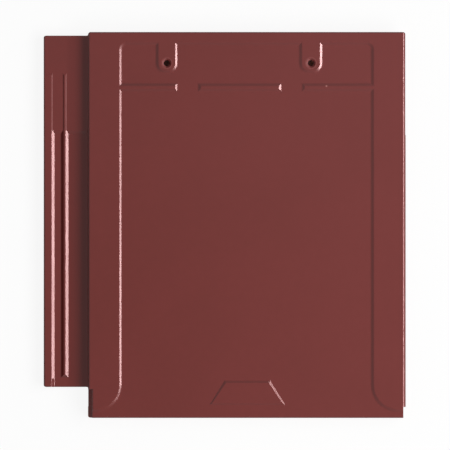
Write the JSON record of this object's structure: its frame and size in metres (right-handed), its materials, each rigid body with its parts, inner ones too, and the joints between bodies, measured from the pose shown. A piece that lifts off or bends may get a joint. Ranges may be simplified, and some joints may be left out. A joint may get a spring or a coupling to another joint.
{
  "type": "interlocking clay roof tile",
  "caption": "Flat pressed clay roof tile, red and glossy, with a side gutter lock, sunk face, broken water bar, nail pads and hanging nibs.",
  "frame": {"origin": "under the middle of the tile's bounding box, on the plane that the tile rests on", "axes": "+X across the roof away from the underlock, +Y up the slope to the head, +Z out of the roof, face up"},
  "size_m": [0.3634, 0.387, 0.03],
  "materials": {
    "glazed_clay": "glossy wine-red engobe on fired clay"
  },
  "bodies": {
    "root": {"roof_tile": "glazed_clay"}
  },
  "joints": []
}
